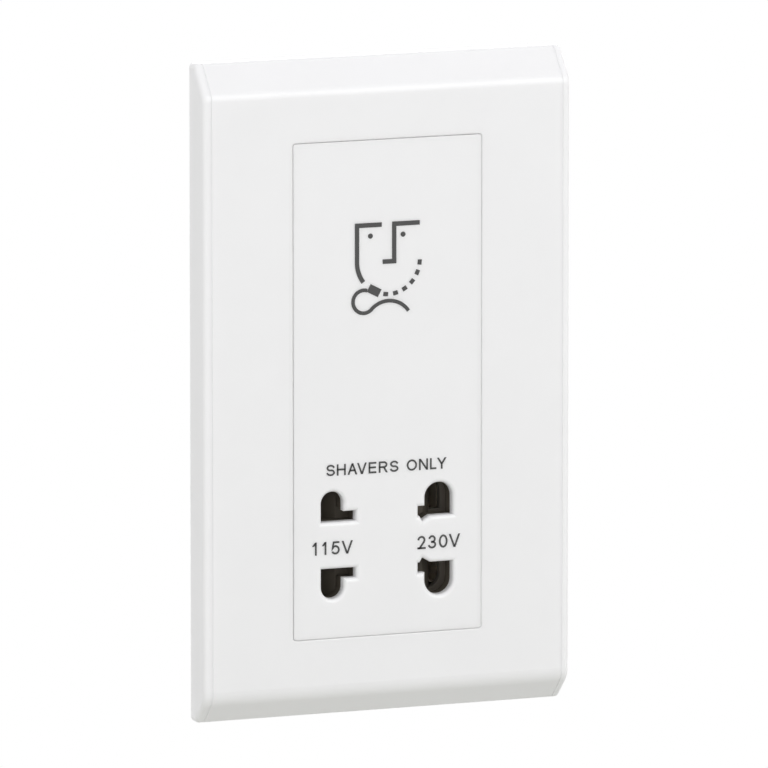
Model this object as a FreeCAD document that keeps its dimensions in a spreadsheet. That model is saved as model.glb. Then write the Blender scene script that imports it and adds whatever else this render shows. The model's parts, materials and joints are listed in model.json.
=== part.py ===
import FreeCAD, Part
import math
import os
import re

import Sketcher
from FreeCAD import Placement, Rotation, Vector

# A dual-voltage shaver supply unit on a tall two-gang wall plate, in millimetres.
# X runs to the right, Y into the wall and Z up. The origin is the middle of the wall plane,
# so the front is at negative Y and the housing reaches into the wall box at positive Y.

SIZES = {
    # Cover plate: bevelled at top and bottom, straight at its sides
    "plate_width": 86.0,
    "plate_height": 146.0,
    "plate_depth": 8.5,
    "plate_wall": 2.0,
    "rim_depth": 2.6,
    "top_bevel": 6.7,
    "top_round": 2.9,
    "foot_bevel": 5.7,
    "foot_round": 4.6,
    "rim_round": 1.6,
    "side_round": 1.1,
    "groove_inset": 1.9,
    "groove_width": 0.45,
    "groove_depth": 0.15,
    "collar_wall": 1.4,
    "seat_gap": 0.1,
    # Clip hooks of the cover plate
    "hook_inset": 7.5,
    "hook_pitch": 45.0,
    "hook_width": 8.0,
    "hook_thick": 1.2,
    "hook_barb": 0.8,
    "hook_ledge": 1.2,
    "hook_gap": 0.3,
    # Socket front: the flush face with its skirt and snap tongues
    "front_width": 44.0,
    "front_height": 110.0,
    "front_corner": 0.6,
    "front_round": 0.15,
    "seam_gap": 0.07,
    "seam_round": 0.35,
    "skin": 2.4,
    "skirt_wall": 1.6,
    "tongue_pitch": 40.0,
    "tongue_width": 6.0,
    "tongue_reach": 1.5,
    "tongue_barb": 0.8,
    "tongue_gap": 0.2,
    # Pin openings, measured from the front's side edges and from the outlets' own centre line
    "outlet_drop": 34.4,
    "slot_edge": 5.2,
    "blade_slot": 2.25,
    "blade_margin": 14.7,
    "low_margin": 6.55,
    "low_width": 5.25,
    "low_reach": 11.95,
    "high_margin": 6.5,
    "high_width": 6.6,
    "high_reach": 12.55,
    "slant_angle": 30.0,
    "slant_margin": 13.65,
    "slant_edge": 4.1,
    "slant_slot": 2.1,
    "slant_length": 6.9,
    "opening_round": 0.9,
    "tunnel_gap": 0.15,
    # Support frame and the two wall-box screw holes
    "frame_thick": 2.5,
    "frame_side_gap": 2.0,
    "frame_end_gap": 4.0,
    "frame_corner": 3.0,
    "frame_rib": 1.5,
    "frame_rib_rise": 1.2,
    "window_lip": 0.4,
    "box_screw_pitch": 120.6,
    "box_screw_hole": 2.1,
    # Aperture guide, shutter slider and contact housing, one behind the other
    "block_gap": 0.4,
    "guide_thick": 3.1,
    "run_gap": 0.2,
    "slider_thick": 3.0,
    "slider_margin": 9.3,
    "slider_ramp": 2.4,
    "shutter_lap": 0.25,
    "shutter_clear": 0.2,
    "rail_gap": 0.3,
    "rail_thick": 4.1,
    "spring_seat": 5.5,
    "spring_slot": 3.8,
    "spring_radius": 1.2,
    "spring_wire": 0.4,
    "spring_turns": 9.0,
    "lug_thick": 1.0,
    "lug_gap": 0.3,
    "contact_depth": 10.6,
    "contact_wall": 1.5,
    "cover_thick": 2.0,
    # Brass contacts in their pockets
    "pocket_room": 0.8,
    "contact_fit": 0.1,
    "contact_strip": 0.5,
    "contact_length": 7.0,
    "tail_width": 3.0,
    "tail_reach": 3.5,
    "tail_gap": 0.2,
    # Rear housing: deep behind the transformer, shallow behind the outlets, narrower towards its back
    "housing_side": 10.0,
    "housing_draft": 5.4,
    "housing_height": 109.0,
    "housing_wall": 2.0,
    "housing_corner": 3.0,
    "upper_depth": 38.0,
    "lower_depth": 26.0,
    "step_drop": 19.0,
    "boss_radius": 2.8,
    "boss_bite": 0.5,
    "boss_length": 12.0,
    "vent_width": 2.4,
    "vent_height": 18.0,
    "vent_pitch": 6.0,
    # Transformer core and coil
    "top_room": 2.6,
    "coil_back_gap": 0.5,
    "core_width": 54.0,
    "core_room": 5.0,
    "core_height": 45.0,
    "core_stack": 18.0,
    "core_leg": 18.0,
    "core_yoke": 9.0,
    "bobbin_fit": 0.2,
    "bobbin_wall": 1.0,
    "bobbin_flange": 1.2,
    "bobbin_gap": 0.3,
    "bobbin_side_gap": 0.6,
    "coil_depth": 34.0,
    "coil_recess": 1.0,
    "coil_round": 3.0,
    "tape_thick": 0.3,
    "tag_pitch": 7.0,
    "tag_width": 1.0,
    "tag_thick": 0.6,
    "tag_length": 5.8,
    "tag_setback": 2.5,
    "strap_gap": 1.0,
    "strap_width": 5.6,
    "strap_thick": 0.8,
    "post_radius": 2.8,
    "post_gap": 1.0,
    "cutout_width": 16.0,
    "cutout_height": 8.0,
    "cutout_thick": 3.8,
    # Supply terminals on the shallow part's back
    "term_width": 44.0,
    "term_height": 24.0,
    "term_depth": 10.0,
    "term_corner": 1.0,
    "term_top_gap": 5.0,
    "term_pitch": 13.0,
    "term_fix_wall": 0.65,
    "term_fix_depth": 4.0,
    "clamp_width": 8.4,
    "clamp_depth": 7.0,
    "clamp_height": 10.0,
    "clamp_gap": 0.2,
    "clamp_tail": 3.0,
    "clamp_tail_thick": 0.8,
    "clamp_tail_reach": 4.0,
    "bore_radius": 1.8,
    "bore_setback": 2.6,
    "entry_gap": 0.5,
    "well_gap": 0.4,
    # Screws: shank radii with their head sizes, and the play of the holes around them
    "screw_play": 0.05,
    "pass_play": 0.25,
    "small_shank": 0.95,
    "small_head": 1.8,
    "housing_shank": 1.25,
    "housing_head": 2.4,
    "clamp_shank": 1.7,
    "clamp_head": 2.9,
    "head_rise": 1.6,
    "recess_share": 1.2,
    "recess_width": 0.6,
    "recess_depth": 0.8,
    "front_post": 1.6,
    "post_wall": 0.4,
    "pilot_skin": 1.2,
    "screw_bite": 8.0,
    "lead_radius": 0.7,
}

# Sizes that follow from the ones above
DERIVED = {
    "blade_end": "front_width/2 - blade_margin",
    "low_side": "front_width/2 - low_margin",
    "high_side": "front_width/2 - high_margin",
    "slant_side": "front_width/2 - slant_margin",
    "slider_half": "front_width/2 - slider_margin",
    "housing_width": "max(front_width + 2*housing_side; core_width + 2*core_room)",
    "slider_reach": "high_reach + shutter_lap",
    "slider_travel": "slider_half - blade_end + shutter_clear",
    "block_reach": "slider_reach + rail_gap + rail_thick",
    "pocket_inner": "blade_end - pocket_room",
    "pocket_outer": "high_side + contact_strip + pocket_room",
    "pocket_near": "slant_edge - contact_strip - contact_fit",
    "pocket_far": "high_reach + pocket_room/2",
    "contact_tip": "slot_edge + blade_slot + tunnel_gap",
    "contact_screw_side": "front_width/2 - skirt_wall - window_lip - block_gap - front_post - post_wall",
    "contact_screw_reach": "(slider_reach + rail_gap + block_reach)/2",
    "core_rise": "housing_height/2 - housing_wall - top_room - 2*post_radius - post_gap - core_height/2",
    "core_centre": "upper_depth - housing_wall - coil_back_gap - coil_depth/2",
    "strap_side": "core_width/2 - core_yoke - bobbin_side_gap + strap_gap + strap_width/2",
    "term_drop": "step_drop + housing_wall + term_top_gap + term_height/2",
    "term_fix_side": "term_width/2 - small_head - pass_play - term_fix_wall",
    "term_fix_drop": "term_height/2 - small_head - pass_play - term_fix_wall",
    "well_radius": "clamp_head + well_gap",
    "entry_radius": "bore_radius + entry_gap",
}

# Planes along Y, from the front face to the back of the contact cover
FACE = "(-plate_depth)"
SKIN_BACK = "(skin - plate_depth)"
GUIDE_BACK = f"({SKIN_BACK} + guide_thick)"
SLIDER_FRONT = f"({GUIDE_BACK} + run_gap)"
SLIDER_BACK = f"({SLIDER_FRONT} + slider_thick)"
CONTACT_FRONT = f"({SLIDER_BACK} + run_gap)"
CONTACT_BACK = f"({CONTACT_FRONT} + contact_depth)"
COVER_BACK = f"({CONTACT_BACK} + cover_thick)"
FRAME_FRONT = "(-frame_thick)"
PLATE_INSIDE = "(plate_wall - plate_depth)"
CORE_FRONT = "(core_centre - core_stack/2)"
CORE_BACK = "(core_centre + core_stack/2)"
TERM_BACK = "(lower_depth + term_depth)"
CLAMP_FRONT = "(lower_depth + clamp_gap)"
BORE_Y = f"({CLAMP_FRONT} + bore_setback)"

# Half widths and levels that several pieces share
OUTLET = "(-outlet_drop)"
WINDOW_X = "(front_width/2 - skirt_wall - window_lip)"
WINDOW_Z = "(front_height/2 - skirt_wall - window_lip)"
BLOCK_X = f"({WINDOW_X} - block_gap)"
HOUSING_IN_X = "(housing_width/2 - housing_wall)"
HOUSING_IN_Z = "(housing_height/2 - housing_wall)"
BOSS_X = f"({HOUSING_IN_X} - boss_radius + boss_bite)"
BOSS_Z = f"({HOUSING_IN_Z} - boss_radius + boss_bite)"
HOOK_X = "(plate_width/2 - hook_inset)"
CORE_TOP = "(core_rise + core_height/2)"
CORE_FOOT = "(core_rise - core_height/2)"
CORE_WINDOW = "(core_height - 2*core_yoke)"
FLANGE_X = "(core_width/2 - core_yoke - bobbin_side_gap)"
BOBBIN_HALF = f"({CORE_WINDOW}/2 - bobbin_gap)"
BOBBIN_FOOT = f"(core_rise - {BOBBIN_HALF})"
COIL_FRONT = "(core_centre - coil_depth/2)"
POST_TOP = f"({CORE_TOP} + post_gap + post_radius)"
POST_FOOT = f"({CORE_FOOT} - post_gap - post_radius)"
CUTOUT_BACK = f"({COIL_FRONT} + coil_recess - tape_thick)"
CUTOUT_Y = f"({CUTOUT_BACK} - cutout_thick/2)"
PRIMARY_Z = f"(({BOBBIN_FOOT} + core_rise + bobbin_flange/2)/2)"
SPRING_Y = f"({SLIDER_FRONT} + slider_thick/2)"
LUG_X = "(slider_half + slider_travel + lug_gap)"
TAIL_MIDDLE = "((pocket_near + pocket_far)/2)"
TAIL_SIDE = ("pocket_outer - contact_fit - contact_strip", "pocket_outer - contact_fit")
TERM_Z = "(-term_drop)"

# Rows of repeated features, and how far a cutting tool reaches past what it cuts
HOOK_ROWS = ("-hook_pitch", "0", "hook_pitch")
TONGUE_ROWS = ("-tongue_pitch", "0", "tongue_pitch")
CONTACT_SCREW_ROWS = (f"{OUTLET} - contact_screw_reach", f"{OUTLET} + contact_screw_reach")
OVERSHOOT = "1"

doc = FreeCAD.newDocument("shaver_socket")
sheet = doc.addObject("Spreadsheet::Sheet", "Sizes")
for row, (alias, size) in enumerate(SIZES.items(), start=1):
    sheet.set(f"A{row}", alias)
    sheet.set(f"B{row}", str(size))
    sheet.setAlias(f"B{row}", alias)
doc.recompute()

ALONG = {
    "x": Rotation(Vector(0, 1, 0), 90),
    "y": Rotation(Vector(1, 0, 0), -90),
    "z": Rotation(),
}
finished = []


def bound(formula):
    """Write out a formula's derived sizes, with the sheet's name in front of each driving size."""

    def written(word):
        if word[0] in DERIVED:
            return f"({bound(DERIVED[word[0]])})"
        return f"Sizes.{word[0]}" if word[0] in SIZES else word[0]

    return re.sub(r"[a-z][a-z_]*", written, formula)


def amount(formula):
    """Work out a formula of sizes as a number."""
    return float(sheet.evalExpression(bound(formula)))


def place(piece, x="0", y="0", z="0", turn=None):
    """Bind a piece's place to formulas, after an optional turn."""
    if turn:
        piece.Placement = Placement(Vector(), turn)
    for axis, formula in zip("xyz", (x, y, z)):
        piece.setExpression(f"Placement.Base.{axis}", bound(formula))


def box(name, x, y, z):
    """A block between a low and a high formula on each axis."""
    block = doc.addObject("Part::Box", name)
    for size, (low, high) in zip(("Length", "Width", "Height"), (x, y, z)):
        block.setExpression(size, bound(f"({high}) - ({low})"))
    place(block, x[0], y[0], z[0])
    return block


def centred(middle, width):
    """The low and high formula of a span about its middle."""
    return (f"({middle}) - ({width})/2", f"({middle}) + ({width})/2")


def rod(name, axis, radius, span, at):
    """A cylinder along an axis over a span, at the two other coordinates."""
    bar = doc.addObject("Part::Cylinder", name)
    bar.setExpression("Radius", bound(radius))
    bar.setExpression("Height", bound(f"({span[1]}) - ({span[0]})"))
    others = iter(at)
    corner = [span[0] if letter == axis else next(others) for letter in "xyz"]
    place(bar, *corner, turn=ALONG[axis])
    return bar


def fuse(name, pieces):
    whole = doc.addObject("Part::MultiFuse", name)
    whole.Shapes = pieces
    whole.Refine = True
    return whole


def cut(name, base, tools):
    rest = doc.addObject("Part::Cut", name)
    rest.Base = base
    rest.Tool = tools[0] if len(tools) == 1 else fuse(f"{name}_tools", tools)
    rest.Refine = True
    return rest


def mirrored(name, piece, height):
    """The mirror image of a piece across the level plane at a height."""
    image = doc.addObject("Part::Mirroring", name)
    image.Source = piece
    image.Normal = Vector(0, 0, 1)
    image.setExpression("Base.z", bound(height))
    return image


def rounded(name, piece, radius, chosen):
    """Round the edges of a piece that pass the test, by a formula's radius."""
    doc.recompute()
    radius = amount(radius)
    round_off = doc.addObject("Part::Fillet", name)
    round_off.Base = piece
    edges = enumerate(piece.Shape.Edges, start=1)
    round_off.Edges = [(number, radius, radius) for number, edge in edges if chosen(edge)]
    return round_off


def runs_along(edge, axis):
    """True for a straight edge parallel to an axis."""
    if not isinstance(edge.Curve, Part.Line):
        return False
    return abs(getattr(edge.Curve.Direction, axis)) > 0.999


def rounded_box(name, x, y, z, radius, axis="y"):
    """A block whose four edges along an axis are rounded."""
    block = box(f"{name}_block", x, y, z)
    return rounded(name, block, radius, lambda edge: runs_along(edge, axis))


def pair(name, make):
    """The same piece on the left and on the right, made by a function of the side's sign."""
    return [make(f"{name}_{side}", sign) for side, sign in (("left", "-1"), ("right", "1"))]


def grid(name, make, columns, rows):
    """One piece at each column and row, made by a function of the two formulas."""
    places = [(column, row) for column in columns for row in rows]
    return [make(f"{name}_{n}", *spot) for n, spot in enumerate(places, start=1)]


def both(formula):
    return (f"-({formula})", formula)


def ordered(*formulas):
    """The formulas with the lowest first."""
    return sorted(formulas, key=amount)


def sided(sign, inner, outer):
    """A span on one side of the middle, from its inner and outer distance."""
    return ordered(f"{sign}*({inner})", f"{sign}*({outer})")


def finish(piece, label):
    """Name a finished sub-part; its label names its file."""
    piece.Label = label
    finished.append(piece)
    return piece


def group(label, pieces):
    """Like pieces that share one node."""
    together = doc.addObject("Part::Compound", f"{label}_group")
    together.Links = pieces
    return finish(together, label)


def outline(body, role, name, points):
    """A closed outline of straight lines on a body's origin plane, each corner bound to formulas."""
    sketch = body.newObject("Sketcher::SketchObject", name)
    plane = next(feature for feature in body.Origin.OriginFeatures if feature.Role == role)
    sketch.AttachmentSupport = [(plane, "")]
    sketch.MapMode = "FlatFace"
    corners = [Vector(amount(u), amount(v), 0) for u, v in points]
    for start, end in zip(corners, corners[1:] + corners[:1]):
        sketch.addGeometry(Part.LineSegment(start, end), False)
    for line in range(len(corners)):
        after = (line + 1) % len(corners)
        sketch.addConstraint(Sketcher.Constraint("Coincident", line, 2, after, 1))
    for line, (corner, formulas) in enumerate(zip(corners, points)):
        for kind, start, formula in zip(("DistanceX", "DistanceY"), corner, formulas):
            bond = sketch.addConstraint(Sketcher.Constraint(kind, -1, 1, line, 1, start))
            sketch.setExpression(f"Constraints[{bond}]", bound(formula))
    return sketch


def pad(body, name, sketch, length, midplane=False, reverse=False):
    raised = body.newObject("PartDesign::Pad", name)
    raised.Profile = sketch
    raised.setExpression("Length", bound(length))
    raised.Midplane = midplane
    raised.Reversed = reverse
    doc.recompute()
    return raised


def soften(body, name, radius, chosen):
    """Round the edges of a body's last feature that pass the test."""
    base = body.Tip
    names = [f"Edge{n}" for n, edge in enumerate(base.Shape.Edges, start=1) if chosen(edge)]
    smooth = body.newObject("PartDesign::Fillet", name)
    smooth.Base = (base, names)
    smooth.setExpression("Radius", bound(radius))
    doc.recompute()
    return smooth


def middle_of(edge):
    return edge.valueAt((edge.FirstParameter + edge.LastParameter) / 2)


def near(value, formula):
    return abs(value - amount(formula)) < 1e-4


def plate_end(inset, back, drop):
    """One end of the plate's side profile from its face to its back, moved inwards by an inset."""
    run = "(plate_depth - rim_depth)"
    slope = f"sqrt({drop}^2 + {run}^2)"
    rim_y = f"(-rim_depth + ({inset})*({slope} - {run})/{drop})"
    rim_z = f"(plate_height/2 - ({inset}))"
    face_y = f"(({inset}) - plate_depth)"
    face_z = f"(plate_height/2 - {drop} - ({inset})*({slope} - {drop})/{run})"
    return [(face_y, face_z), (rim_y, rim_z), (back, rim_z)]


def plate_profile(name, inset, width, back, rim_rounded):
    """The plate's side profile, moved inwards by an inset and padded to a width about x = 0."""
    upper = plate_end(inset, back, "top_bevel")
    lower = [(y, f"-{z}") for y, z in plate_end(inset, back, "foot_bevel")]
    body = doc.addObject("PartDesign::Body", name)
    sketch = outline(body, "YZ_Plane", f"{name}_side", lower[::-1] + upper)
    pad(body, f"{name}_pad", sketch, width, midplane=True)

    def corner_at(edge, y, z):
        middle = middle_of(edge)
        return runs_along(edge, "x") and near(middle.y, y) and near(middle.z, z)

    soften(body, f"{name}_top", f"top_round - ({inset})", lambda edge: corner_at(edge, *upper[0]))
    soften(body, f"{name}_foot", f"foot_round - ({inset})", lambda edge: corner_at(edge, *lower[0]))
    if rim_rounded:
        soften(
            body, f"{name}_rim", f"rim_round - ({inset})",
            lambda edge: corner_at(edge, *upper[1]) or corner_at(edge, *lower[1]),
        )
    return body


def plate_grooves():
    """The fine shadow lines near both sides, along the face and the bevels, as one cutting tool."""

    def slab(name, sign):
        across = centred(f"{sign}*(plate_width/2 - groove_inset)", "groove_width")
        return box(name, across, ("-2*plate_depth", "-rim_depth"), both("plate_height"))

    core = plate_profile("plate_groove_core", "groove_depth", "plate_width", "0", True)
    return cut("plate_grooves", fuse("plate_groove_slabs", pair("plate_groove", slab)), [core])


def plate_hook(name, sign, z):
    """A tongue behind the plate with a barb that catches behind the frame's ledge."""
    inner, outer = centred(HOOK_X, "hook_thick")
    tip = "(-hook_gap)"
    barb_front = "(hook_ledge - frame_thick + seat_gap)"
    span_z = centred(z, "hook_width")
    tongue = box(f"{name}_tongue", sided(sign, inner, outer), (f"{PLATE_INSIDE} - seat_gap", tip), span_z)
    barb = box(f"{name}_barb", sided(sign, outer, f"{outer} + hook_barb"), (barb_front, tip), span_z)
    return fuse(name, [tongue, barb])


def cover_plate():
    shell = plate_profile("plate_shell", "0", "plate_width", "0", True)
    soften(
        shell, "plate_sides", "side_round",
        lambda edge: near(abs(middle_of(edge).x), "plate_width/2") and middle_of(edge).y < -1e-4,
    )
    hollow = plate_profile("plate_hollow", "plate_wall", "plate_width - 2*plate_wall", OVERSHOOT, False)
    open_x = both("(front_width/2 + seam_gap)")
    open_z = both("(front_height/2 + seam_gap)")
    opening = rounded_box(
        "plate_opening", open_x, ("-2*plate_depth", OVERSHOOT), open_z, "front_corner + seam_gap"
    )
    collar = box(
        "plate_collar", both("(front_width/2 + seam_gap + collar_wall)"),
        (f"{PLATE_INSIDE} - seat_gap", f"{FRAME_FRONT} - seat_gap"),
        both("(front_height/2 + seam_gap + collar_wall)"),
    )
    hooks = grid("plate_hook", plate_hook, ("-1", "1"), HOOK_ROWS)
    walls = cut("plate_walls", shell, [hollow, plate_grooves()])
    framed = cut("plate_open", fuse("plate_built", [walls, collar] + hooks), [opening])

    def seam_edge(edge):
        middle = middle_of(edge)
        beside = abs(middle.x) < amount("front_width/2 + collar_wall")
        level = abs(middle.z) < amount("front_height/2 + collar_wall")
        return near(middle.y, FACE) and beside and level

    finish(rounded("plate_finished", framed, "seam_round", seam_edge), "cover_plate")


def opening_tool(name, gap, y):
    """All four pin openings as one cutting tool, grown by a gap, over a span of Y."""
    flat = f"({OUTLET} + slot_edge - ({gap}))"
    blade_top = f"({OUTLET} + slot_edge + blade_slot + ({gap}))"

    def keyhole(label, sign, side, width, reach):
        radius = f"({width}/2 + ({gap}))"
        middle = f"{sign}*({side} - {width}/2)"
        centre_z = f"({OUTLET} + {reach} - {width}/2)"
        blade_x = sided(sign, f"blade_end - ({gap})", f"{side} + ({gap})")
        return [
            rod(f"{name}_{label}_round", "y", radius, y, (middle, centre_z)),
            box(f"{name}_{label}_neck", centred(middle, f"2*{radius}"), y, (flat, centre_z)),
            box(f"{name}_{label}_blade", blade_x, y, (flat, blade_top)),
        ]

    slant = doc.addObject("Part::Box", f"{name}_slant")
    slant.setExpression("Length", bound(f"slant_length + ({gap})"))
    slant.setExpression("Width", bound(f"({y[1]}) - ({y[0]})"))
    slant.setExpression("Height", bound(f"slant_slot + 2*({gap})"))
    place(
        slant,
        f"slant_side - ({gap})*cos(slant_angle) + ({gap})*sin(slant_angle)", y[0],
        f"{OUTLET} + slant_edge - ({gap})*sin(slant_angle) - ({gap})*cos(slant_angle)",
        turn=Rotation(Vector(0, 1, 0), -amount("slant_angle")),
    )
    upper = fuse(
        f"{name}_upper",
        keyhole("low", "-1", "low_side", "low_width", "low_reach")
        + keyhole("high", "1", "high_side", "high_width", "high_reach")
        + [slant],
    )
    lower = mirrored(f"{name}_lower", upper, OUTLET)
    return fuse(name, [upper, lower])


def contact_screw_holes(name, radius, span):
    """Four holes for the contact screws, along Y."""
    return grid(
        name, lambda label, x, z: rod(label, "y", radius, span, (x, z)),
        both("contact_screw_side"), CONTACT_SCREW_ROWS,
    )


def front_tongue(name, sign, z):
    """A snap tongue that continues the skirt through the frame and catches behind it."""
    outer = "front_width/2"
    root = f"{FRAME_FRONT} - skirt_wall"
    span_z = centred(z, "tongue_width")
    tongue_x = sided(sign, f"{outer} - skirt_wall", outer)
    tongue = box(f"{name}_tongue", tongue_x, (root, "tongue_reach"), span_z)
    barb_x = sided(sign, outer, f"{outer} + tongue_barb")
    barb = box(f"{name}_barb", barb_x, ("seat_gap", "tongue_reach"), span_z)
    return fuse(name, [tongue, barb])


def socket_front():
    block = rounded_box(
        "front_block", both("front_width/2"), (FACE, FRAME_FRONT), both("front_height/2"), "front_corner"
    )
    cavity = box(
        "front_cavity", both("(front_width/2 - skirt_wall)"), (SKIN_BACK, OVERSHOOT),
        both("(front_height/2 - skirt_wall)"),
    )
    softened = rounded(
        "front_softened", cut("front_tray", block, [cavity]), "front_round",
        lambda edge: near(edge.BoundBox.YMin, FACE) and near(edge.BoundBox.YMax, FACE),
    )
    posts = contact_screw_holes("front_post", "front_post", (f"{SKIN_BACK} - seat_gap", GUIDE_BACK))
    tongues = grid("front_tongue", front_tongue, ("-1", "1"), TONGUE_ROWS)
    pilots = contact_screw_holes(
        "front_pilot", "small_shank + screw_play", (f"{FACE} + pilot_skin", OVERSHOOT)
    )
    openings = opening_tool("front_openings", "0", ("-2*plate_depth", f"{SKIN_BACK} + {OVERSHOOT}"))
    built = fuse("front_built", [softened] + posts + tongues)
    pierced = cut("front_pierced", built, pilots + [openings])

    def opening_rim(edge):
        on_face = near(edge.BoundBox.YMin, FACE) and near(edge.BoundBox.YMax, FACE)
        return on_face and abs(middle_of(edge).x) < amount("pocket_outer")

    finish(rounded("front_finished", pierced, "opening_round", opening_rim), "socket_front")


def support_frame():
    half_x = "(plate_width/2 - plate_wall - frame_side_gap)"
    half_z = "(plate_height/2 - plate_wall - frame_end_gap)"
    plate = rounded_box("frame_plate", both(half_x), (FRAME_FRONT, "0"), both(half_z), "frame_corner")
    lip = rounded_box(
        "frame_lip", both(half_x), (f"{FRAME_FRONT} - frame_rib_rise", FRAME_FRONT), both(half_z),
        "frame_corner",
    )
    lip_inside = rounded_box(
        "frame_lip_inside", both(f"({half_x} - frame_rib)"), ("-2*plate_depth", FRAME_FRONT),
        both(f"({half_z} - frame_rib)"), "frame_corner - frame_rib",
    )
    window = box("frame_window", both(WINDOW_X), ("-plate_depth", OVERSHOOT), both(WINDOW_Z))
    box_holes = [
        rod(f"frame_box_hole_{end}", "y", "box_screw_hole", ("-plate_depth", OVERSHOOT), ("0", z))
        for end, z in zip(("foot", "top"), both("box_screw_pitch/2"))
    ]
    screw_holes = grid(
        "frame_screw_hole",
        lambda name, x, z: rod(name, "y", "housing_shank + pass_play", ("-plate_depth", OVERSHOOT), (x, z)),
        both(BOSS_X), both(BOSS_Z),
    )

    def hook_window(name, sign, z):
        inner, outer = centred(HOOK_X, "(hook_thick + 2*hook_gap)")
        span_z = centred(z, "(hook_width + 2*hook_gap)")
        throat = box(f"{name}_throat", sided(sign, inner, outer), ("-plate_depth", OVERSHOOT), span_z)
        recess_x = sided(sign, inner, f"{outer} + hook_barb")
        recess = box(f"{name}_recess", recess_x, ("hook_ledge - frame_thick", OVERSHOOT), span_z)
        return fuse(name, [throat, recess])

    def tongue_slot(name, sign, z):
        x = sided(sign, f"{WINDOW_X} - window_lip", "front_width/2 + tongue_gap")
        return box(name, x, ("-plate_depth", OVERSHOOT), centred(z, "(tongue_width + 2*tongue_gap)"))

    holes = [window] + box_holes + screw_holes
    holes += grid("frame_hook_window", hook_window, ("-1", "1"), HOOK_ROWS)
    holes += grid("frame_tongue_slot", tongue_slot, ("-1", "1"), TONGUE_ROWS)
    ribbed = fuse("frame_ribbed", [plate, cut("frame_border", lip, [lip_inside])])
    finish(cut("frame_finished", ribbed, holes), "support_frame")


def block_span():
    return both(BLOCK_X), (f"{OUTLET} - block_reach", f"{OUTLET} + block_reach")


def aperture_guide():
    x, z = block_span()
    slab = box("guide_slab", x, (SKIN_BACK, GUIDE_BACK), z)
    tunnels = opening_tool("guide_tunnels", "tunnel_gap", ("-plate_depth", OVERSHOOT))
    holes = contact_screw_holes("guide_hole", "front_post + screw_play", ("-plate_depth", OVERSHOOT))
    finish(cut("guide_finished", slab, [tunnels] + holes), "aperture_guide")


def shutter_slider():
    """The slider is centred at rest; a plug's pins push its sloped ends aside."""
    body = doc.addObject("PartDesign::Body", "slider_body")
    front, back = SLIDER_FRONT, SLIDER_BACK
    points = [
        ("-slider_half + slider_ramp", front),
        ("slider_half - slider_ramp", front),
        ("slider_half", f"{front} + slider_ramp"),
        ("slider_half", back),
        ("-slider_half", back),
        ("-slider_half", f"{front} + slider_ramp"),
    ]
    sketch = outline(body, "XY_Plane", "slider_section", points)
    pad(body, "slider_pad", sketch, "2*slider_reach", midplane=True)
    place(body, z=OUTLET)

    def spring_slot(name, sign):
        x = sided(sign, "spring_seat", f"slider_half + {OVERSHOOT}")
        return box(name, x, ("-plate_depth", f"{back} + {OVERSHOOT}"), centred(OUTLET, "spring_slot"))

    finish(cut("slider_finished", body, pair("slider_slot", spring_slot)), "shutter_slider")


def shutter_spring(side, sign):
    """A coil spring between the slider's slot and the lug at the end of the contact housing."""
    inset = "(spring_wire/2 + seat_gap)"
    low, high = sided(sign, f"spring_seat + {inset}", f"{LUG_X} - {inset}")
    coil = doc.addObject("Part::Helix", f"spring_{side}_line")
    coil.setExpression("Radius", bound("spring_radius"))
    coil.setExpression("Height", bound(f"({high}) - ({low})"))
    coil.setExpression("Pitch", bound(f"(({high}) - ({low}))/spring_turns"))
    wire = doc.addObject("Part::Circle", f"spring_{side}_wire")
    wire.setExpression("Radius", bound("spring_wire/2"))
    wire.Placement = Placement(Vector(), Rotation(Vector(1, 0, 0), 90))
    wire.setExpression("Placement.Base.x", bound("spring_radius"))
    doc.recompute()
    spring = doc.addObject("Part::Sweep", f"spring_{side}")
    spring.Sections = [wire]
    spring.Spine = (coil, ["Edge1"])
    spring.Solid = True
    spring.Frenet = True
    place(spring, low, SPRING_Y, OUTLET, turn=ALONG["x"])
    finish(spring, f"shutter_spring_{side}")


def contact_places():
    """Each contact's name with the signs of its column and row."""
    for column, sign_x in (("115v", "-1"), ("230v", "1")):
        for row, sign_z in (("upper", "1"), ("lower", "-1")):
            yield f"{column}_{row}", sign_x, sign_z


def corner_box(name, sign_x, sign_z, x, y, z):
    """A block in one outlet quarter, from distances off the middle and the outlets' centre line."""
    span_z = ordered(*(f"{OUTLET} + {sign_z}*({reach})" for reach in z))
    return box(name, sided(sign_x, *x), y, span_z)


def contact_housing():
    x, z = block_span()
    slab = box("contact_slab", x, (CONTACT_FRONT, CONTACT_BACK), z)
    rail = ("slider_reach + rail_gap", "block_reach")
    rails = [
        corner_box(f"contact_rail_{row}", "1", sign, both(BLOCK_X), (GUIDE_BACK, CONTACT_FRONT), rail)
        for row, sign in (("upper", "1"), ("lower", "-1"))
    ]

    def lug(name, sign):
        span_x = sided(sign, LUG_X, f"{LUG_X} + lug_thick")
        return box(name, span_x, (GUIDE_BACK, CONTACT_FRONT), centred(OUTLET, "2*spring_slot"))

    past = f"{CONTACT_BACK} + {OVERSHOOT}"
    pockets = [
        corner_box(
            f"contact_pocket_{label}", sign_x, sign_z, ("pocket_inner", "pocket_outer"),
            (f"{CONTACT_FRONT} + contact_wall", past), ("pocket_near", "pocket_far"),
        )
        for label, sign_x, sign_z in contact_places()
    ]
    throat = (SLIDER_FRONT, f"{CONTACT_FRONT} + 2*contact_wall")
    tunnels = opening_tool("contact_tunnels", "tunnel_gap", throat)
    holes = contact_screw_holes("contact_hole", "small_shank + pass_play", ("-plate_depth", past))
    built = fuse("contact_built", [slab] + rails + pair("contact_lug", lug))
    finish(cut("contact_finished", built, pockets + [tunnels] + holes), "contact_housing")


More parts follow.
